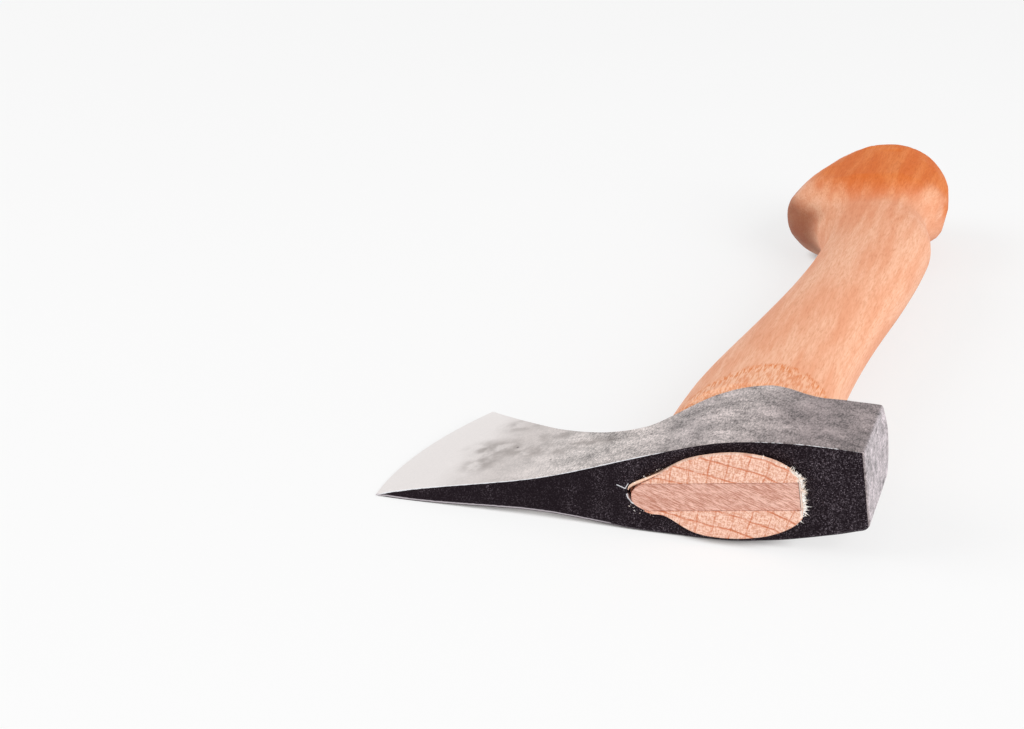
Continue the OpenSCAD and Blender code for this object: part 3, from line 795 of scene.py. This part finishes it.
def haftPatches():
    # rings of points from the proud end, through the eye, out over the shoulder and along the grip to the butt
    a = ringAngles[None, :]
    endY, grow, fuller = (np.array(v, float)[:, None] for v in zip(*haft["endRings"]))
    grow = endSpread(a, grow)
    x, z = eyeOutline(a, grow)
    fullness = np.where((np.cos(a) > 0) & (z < 0), fuller, 0)
    widest = eye["width"] / 2 + grow
    z = blended(z, -widest * np.abs(z / widest) ** haft["endFull"], fullness)  # the lower rear is fuller
    x = flattened(x)
    y = endY * np.ones_like(x)
    side = np.minimum(np.arange(len(ringAngles)), len(ringAngles) - np.arange(len(ringAngles)))
    nose = side > noseCount  # there the wedge alone fills the eye
    lipX, lipZ = eyeOutline(a, -0.3)
    x, y, z = np.where(nose, lipX, x), np.where(nose, wedge["noseDeep"], y), np.where(nose, lipZ, z)

    def underEye(y):
        # how deep the head's underside lies beside the tongue, whose waist is taken at y
        return throughRows(eyeOutline(a, -haft["eyeGap"] - eyeWaist(y))[0] - toeX, underRows)
    shoulderY = underEye(underEye(0.0)) + haft["shoulderGap"]
    tongueY = shoulderY * np.linspace(0, 1, 8)[1:, None]
    tx, tz = eyeOutline(a, -haft["eyeGap"] - eyeWaist(tongueY))
    gx, gz = gripSection(a, np.full((1, 1), gripY))
    s = np.linspace(0, 1, 13)[1:, None]
    sx, sz = blended(tx[-1:], gx, eased(s)), blended(tz[-1:], gz, eased(s))
    sy = shoulderY + haft["swell"] * s
    along = np.concatenate([np.linspace(gripY, knobY, 150)[1:],
                            knobY + haft["nose"] * np.sin(np.linspace(0, math.pi / 2, 46))[1:]])[:, None]
    kx, kz = gripSection(a, along)
    # past the shoulder a ring's stagger along the haft fades out
    stagger = (shoulderY + haft["swell"] - gripY) * (1 - eased((along - gripY) / 18))
    ky = np.maximum.accumulate(along + stagger, axis=0)
    rings = np.stack([np.concatenate(p) for p in ((x, tx, sx, kx), (y, tongueY, sy, ky * np.ones_like(kx)),
                                                  (z, tz, sz, kz))], -1)
    edge = np.linspace(1, 0, 12)[:, None, None]
    butt = blended(rings[-1].mean(0), rings[-1], edge)
    lift = np.arange(len(rings))[:, None]
    atRear = np.cos(a) > np.where(np.sin(a) > 0, 0.8, 0.35)
    fray = ((lift > 1) & (lift < len(endY))) * (0.25 + 0.75 * atRear)
    patches = [gridPatch(rings, True, frayed=fray, skin=1.0, endGrain=lift < 4), gridPatch(butt, True, skin=1.0)]

    # the sawn end: its rear is whole, its sides run in to the slot, and the slot goes down to the wedge's tip
    count = len(halfTurn)
    ex, ey, ez = x[0, :count], y[0, :count], z[0, :count]
    slotTop = np.minimum(kerfHalf(-haft["proud"]), ez)
    g = np.linspace(0, 1, 9)[:, None]
    rear = slice(0, rearCount + 1)
    share = slotTop[rearCount] / ez[rearCount]
    lowZ = -z[0, -np.arange(count)]
    half = ez[rear] * blended(1, share, g)
    lowHalf = lowZ[rear] * blended(1, slotTop[rearCount] / lowZ[rearCount], g)
    full = np.concatenate([half, -lowHalf[::-1]])
    patches.append(gridPatch(stacked(ex[rear], ey[rear], full), endGrain=1.0, frayed=0.85))
    sides = slice(rearCount, count)
    for outerZ, way, rearmost in ((ez, 1, 0.8), (lowZ, -1, 0.35)):
        crushed = (g == 0) * 0.8 * (np.cos(halfTurn[sides]) > rearmost)
        lip = way * blended(outerZ[sides], slotTop[sides], g)
        patches.append(gridPatch(stacked(ex[sides], ey[sides], lip), endGrain=1.0, frayed=crushed))
    angles = halfTurn[sides]
    tipY = wedge["length"] - haft["proud"] + 0.05
    levels = [(ex[sides], ey[sides], slotTop[sides])]
    for level, grow in ((wedge["noseDeep"] + 0.4, -0.4), (tipY, -0.5 - eyeWaist(tipY))):
        levels.append(slotLevel(angles, level, grow))
    walls = np.stack([mirrored(*level) for level in levels])
    patches.append(gridPatch(walls, True, endGrain=0.3))
    wx, wy, wz = levels[-1]
    patches.append(gridPatch(np.stack([stacked(wx, wy, wz), stacked(wx, wy, -wz)])))
    return patches


def knobFacets():
    # centres on the knob in staggered rows with seeded shifts; each facet is the plane that touches there, set in
    rng = np.random.default_rng(5)
    places, step = np.linspace(*haft["facetRows"]), math.tau / haft["facetTurns"]
    rows, turns = np.meshgrid(places, np.arange(haft["facetTurns"]) * step, indexing="ij")
    y = rows + rng.uniform(-3, 3, rows.shape)
    a = turns + rng.uniform(-0.2, 0.2, rows.shape) + (np.arange(len(places)) % 2)[:, None] * step / 2

    def spot(a, y):
        # points of the section at those turns and places
        x, z = gripSection(a, y)
        return stacked(x, y, z).reshape(-1, 3)
    centre = spot(a, y)
    outwards = np.cross(spot(a, y + 0.1) - centre, spot(a + 0.01, y) - centre)
    outwards /= np.linalg.norm(outwards, axis=1, keepdims=True)
    outwards *= np.sign(np.sum(outwards[:, [0, 2]] * (centre - centre.mean(0))[:, [0, 2]], 1, keepdims=True))
    return centre, outwards, rng.uniform(*haft["facetDepth"], len(centre))


def carved(points, normals, marks):
    # wide tool marks on the wood, a rasped dip behind the head, flats shaved off the knob, and a crushed rim at the
    # end; then painted shade low on the knob's left side, and where the wood is oiled, with less oil on surfaces
    # that face right, as a painted highlight
    x, y = points[:, 0], points[:, 1]
    outer, change = marks["skin"], haft["changes"]
    grip, knob = since(y, change["grip"]) * outer, since(y, change["knob"]) * outer
    arch = beech["raspTop"] - beech["raspCurve"] * (x - beech["raspMiddle"]) ** 2
    dip = eased((arch - y) / 2) * since(y, change["rasp"]) * outer * haft["raspDip"]
    marked = grip * haft["toolMarks"] * (1 + lumps(points / (1, 3, 1), 9, 21))
    moved = points - normals * (marked + dip)[:, None]

    centre, outwards, depth = knobFacets()
    proud = moved @ outwards.T - np.sum(centre * outwards, 1) + depth
    near = np.linalg.norm(moved[:, None] - centre, axis=2) < haft["facetReach"]
    proud = np.clip(np.where(near, proud, 0), 0, 2)
    most = np.argmax(proud, axis=1)
    moved = moved - outwards[most] * (np.max(proud, axis=1) * knob)[:, None]

    rim = marks["frayed"] * (0.2 + 0.2 * lumps(points, 1.3, 22) + 0.15 * lumps(points, 0.6, 23))
    sawn = (marks["endGrain"] > 0.9) * (0.08 + 0.06 * lumps(points, 2.0, 24))
    flank = eased((-0.3 - normals[:, 0]) / 0.5) * since(y, change["flank"])  # the knob's left side
    # painted shade: the knob's left side made darker towards the bottom, turned away from the lamps
    marks["soiled"] = flank * eased((13 - points[:, 2]) / 8) * outer
    # painted highlight: surfaces that face right, towards the lamps, get less oil and stay paler
    paintedHighlight = eased((normals[:, 0] - 0.25) / 0.5)
    farSide = eased((normals[:, 0] - 0.96) / 0.04) * since(y, change["farSide"])
    start = haft["oilStart"] + haft["oilCurve"] * (x - haft["oilMiddle"]) ** 2 + haft["oilLaterForHighlight"] * paintedHighlight
    dome = eased((y - start) / (haft["oilFade"] - haft["oilLaterForHighlight"] * paintedHighlight)) * (1 - 0.95 * flank)
    handled = haft["gripOil"] * since(y, change["handled"]) * (1 - flank) * (1 - 0.8 * paintedHighlight)
    marks["oiled"] = np.maximum.reduce([dome, haft["rimOil"] * farSide, handled]) * outer
    return moved - normals * (rim + sawn)[:, None]


# Torn fibres round the end

fibres = {
    "count": 600, "spreadDeg": 30.0, "rearDeg": (-66, 64), "short": 0.35, "long": 1.1, "thick": 0.14,
    "noseCount": 26, "upperNoseDeg": (128, 158), "lowerNoseDeg": (130, 165), "shavingThick": 0.46,
    "rootGrow": (0.1, 0.85), "rootY": (-2.9, -0.9), "lean": (0.45, 0.5, 0.6), "curl": 0.4,
    "limitsY": (-2.82, -0.12)}


def tubes(paths, radii, sides, shaving):
    # rings of a few points about each path, in the two directions across it; a radius of 0 closes an end
    ahead = np.gradient(paths, axis=1)
    ahead /= np.linalg.norm(ahead, axis=2, keepdims=True)
    one = np.cross(ahead, (0.3, 0.9, 0.2))  # a direction that no path follows
    one /= np.linalg.norm(one, axis=2, keepdims=True)
    two = np.cross(ahead, one)
    a = np.arange(sides) * math.tau / sides
    ring = one[:, :, None] * np.cos(a)[:, None] + two[:, :, None] * np.sin(a)[:, None]
    return [gridPatch(p, True, shaving=shaving) for p in paths[:, :, None] + ring * radii[:, :, None, None]]


def fibrePatches():
    # short fibres that stand out from the rim at the back of the eye and curl, a few at the nose, and one shaving
    rng = np.random.default_rng(41)
    count, few = fibres["count"], fibres["noseCount"]
    a = np.radians(np.concatenate([np.clip(rng.normal(0, fibres["spreadDeg"], count), *fibres["rearDeg"]),
                                   rng.uniform(*fibres["upperNoseDeg"], few // 2),
                                   -rng.uniform(*fibres["lowerNoseDeg"], few - few // 2)]))
    n = len(a)
    x, z = eyeOutline(a, rng.uniform(*fibres["rootGrow"], n))
    root = stacked(flattened(x), rng.uniform(*fibres["rootY"], n), z)
    out = stacked(np.cos(a), 0, np.sin(a)) + rng.normal(0, 1, (n, 3)) * fibres["lean"]
    length = blended(fibres["short"], fibres["long"], rng.uniform(0, 1, n) ** 2)
    length *= blended(1.0, 0.4, eased((np.abs(a) - 0.4) / 0.6))
    curl = rng.normal(0, fibres["curl"], (n, 3))
    t = np.array([0, 0.35, 0.7, 1.0])[:, None]
    paths = root[:, None] + (out[:, None] * t + curl[:, None] * t**2) * length[:, None, None]
    paths[..., 1] = np.clip(paths[..., 1], *fibres["limitsY"]) + np.linspace(-0.03, 0.03, 4)
    radii = rng.uniform(0.5, 1.0, (n, 1)) * fibres["thick"] * np.array([0, 1, 0.7, 0])
    t = np.linspace(0, 1, 30)  # along the shaving
    x, z = eyeOutline(blended(math.pi - 0.12, noseAngle - 0.3, t), -0.12 + 0.25 * np.sin(5 * t))
    y = blended(-0.6, -2.3, eased(t))
    thick = fibres["shavingThick"] * np.sin(math.pi * t) ** 0.6
    return tubes(paths, radii, 3, 0.0) + tubes(stacked(x, y, z)[None], thick[None], 8, 1.0)


# Wedge

def wedgePatches():
    # the slot's own outline, a little smaller: a chamfered end, a short full width in the eye's nose, and a
    # long taper
    count = len(halfTurn)
    angles = halfTurn[rearCount:count]
    top = -haft["proud"] + wedge["sunk"]
    tipY = wedge["length"] - haft["proud"]
    levels, rims = [], []
    behind = np.cos(angles) > 0
    # each ring's place, its growth ahead and behind, what comes off its sides, and the mark of its rim
    for level, grow, rearGrow, trim, rim in (
            (top, -0.45, endGrow - 0.1, 0.12, 0.0), (top + 0.1, -0.36, endGrow - 0.06, 0.05, 1.0),
            (wedge["noseDeep"] + 0.4, -0.46, -0.46, 0.05, 0.0),
            (tipY, -0.55 - eyeWaist(tipY), -0.55 - eyeWaist(tipY), 0.05, 0.0)):
        wx, wy, wz = slotLevel(angles, level, np.where(behind, rearGrow, grow), wedge["noseTrim"], trim)
        levels.append((np.minimum(wx, rearX - wedge["gap"]), wy, wz))
        rims.append(rim)
    between = 11
    walls = np.stack([mirrored(*level, between) for level in levels])
    patches = [gridPatch(walls, True, rim=np.array(rims)[:, None] * (walls[..., 0] < rearX - 0.4))]
    g = np.linspace(1, -1, between + 2)[:, None]
    for level, driven in ((0, 1.0), (-1, 0.0)):
        wx, wy, wz = levels[level]
        patches.append(gridPatch(stacked(wx, wy, wz * g), driven=driven))
    return patches


def struck(points, normals, marks):
    # the end is a little uneven from the mallet and the saw
    return points - normals * ((marks["driven"] > 0.9) * (0.06 + 0.06 * lumps(points, 3.0, 31)))[:, None]


makePiece("axeHead", headPatches(), forgedSteel(), "axe_head", hammered)
makePiece("haftPiece", haftPatches(), haftWood(), "haft", carved)
makePiece("eyeWedge", wedgePatches(), wedgeWood(), "eye_wedge", struck)
makePiece("rimFibres", fibrePatches(), fibreWood(), sharpDeg=80)


# Floor, light and camera

studio = {
    "floorSize": 12.0, "floorNear": 0.9, "floorFar": 3.0, "floorTones": (222, 218), "floorShown": 0.62,
    "floorWhite": 1.11, "contactReach": 0.005, "contactFree": 0.48,
    "skyLight": 0.43, "skyLean": 0.1, "skySeen": 0.95,
    # each lamp's power, size and place
    "lamps": {"rightBox": (90.0, 2.4, (2.3, -1.7, 1.6)), "leftBox": (43.0, 2.4, (-2.4, -0.8, 1.5))}}


def shownDirectly(f):
    # 1 for what the camera sees straight, mirrored or through glass
    ways = [f.node("LightPath", give=way) for way in ("Is Camera Ray", "Is Glossy Ray", "Is Transmission Ray")]
    return ways[0].math("MAXIMUM", ways[1]).math("MAXIMUM", ways[2])


def whiteFloor():
    # a pale floor that takes the shadow, most of it shown as plain white paper, less so close to what lies on it; far
    # off it is as white as the room
    f = newFinish("whiteFloor")
    place = f.node("TexCoord", give="Object")
    tone = f.colour(f.noise(place, 0.4, 2), *((tone,) * 3 for tone in studio["floorTones"]))
    lit = f.node("BsdfDiffuse", inputs={"Color": tone})
    away = f.node("VectorMath", {"operation": "LENGTH"}, {0: place}, give="Value")
    far = f.step(away, studio["floorNear"], studio["floorFar"])
    roomTone = studio["skySeen"] / studio["floorWhite"]
    white = f.colour(far, (1, 1, 1, 1), (roomTone, roomTone, roomTone, 1))
    paper = f.node("Emission", inputs={"Color": white, "Strength": studio["floorWhite"]})
    free = f.node("AmbientOcclusion", {"samples": 8}, {"Distance": studio["contactReach"]}, give="AO")
    share = shownDirectly(f) * (far * (1 - studio["floorShown"]) + studio["floorShown"])
    share = share * f.step(free, 0.0, studio["contactFree"])
    return f.shown(f.node("MixShader", inputs={0: share, 1: lit, 2: paper}))


def floorPlane():
    # a square grid at height 0
    s = np.linspace(-0.5, 0.5, 9) * studio["floorSize"]
    x, y = np.meshgrid(s, s)
    points, triangles = gridPatch(stacked(x, y, 0))[:2]
    mesh = bpy.data.meshes.new("floor")
    mesh.from_pydata(points.tolist(), [], triangles.tolist())
    mesh.materials.append(whiteFloor())
    plane = placed("floor", mesh)


def lamp(name, power, size, place):
    # a square soft box that points at the hatchet's middle, and does not show in the steel
    data = bpy.data.lights.new(name, "AREA")
    data.energy, data.size = power, size
    box = placed(name, data)
    box.location = place
    box.visible_glossy = False
    box.rotation_euler = Vector(place).to_track_quat("Z", "Y").to_euler()


def sky():
    # a white room: seen and mirrored evenly, and lighting the hatchet more from the right than from the left
    f = Finish(bpy.data.worlds.new("room"))
    sideways = f.parts(f.node("TexCoord", give="Generated"))[0]
    lighting = (sideways * studio["skyLean"] + 1) * studio["skyLight"]
    direct = shownDirectly(f)
    strength = direct * studio["skySeen"] + (1 - direct) * lighting
    light = f.node("Background", inputs={"Color": (1, 1, 1, 1), "Strength": strength})
    return f.shown(light, "OutputWorld")


view = {
    "place": (122.53, -658.92, 235.37), "right": (0.95582, 0.29388, 0.00674), "up": (-0.10709, 0.32675, 0.93902),
    "lens": 71.7875}


def viewCamera():
    # the photograph's place and turn; its third axis is right cross up
    data = bpy.data.cameras.new("view")
    data.lens, data.sensor_width, data.sensor_fit = view["lens"], 36.0, "HORIZONTAL"
    data.clip_start, data.clip_end = 0.01, 50.0
    camera = placed("view", data)
    r, u = np.array(view["right"]), np.array(view["up"])
    axes = np.stack([r, u, np.cross(r, u)], 1)
    camera.matrix_world = Matrix.Translation(np.array(view["place"]) / 1000) @ Matrix(axes.tolist()).to_4x4()
    bpy.context.scene.camera = camera


floorPlane()
for name, row in studio["lamps"].items():
    lamp(name, *row)
bpy.context.scene.world = sky()
viewCamera()
bpy.context.scene.view_settings.view_transform = "Standard"
print("stage, light and camera set")
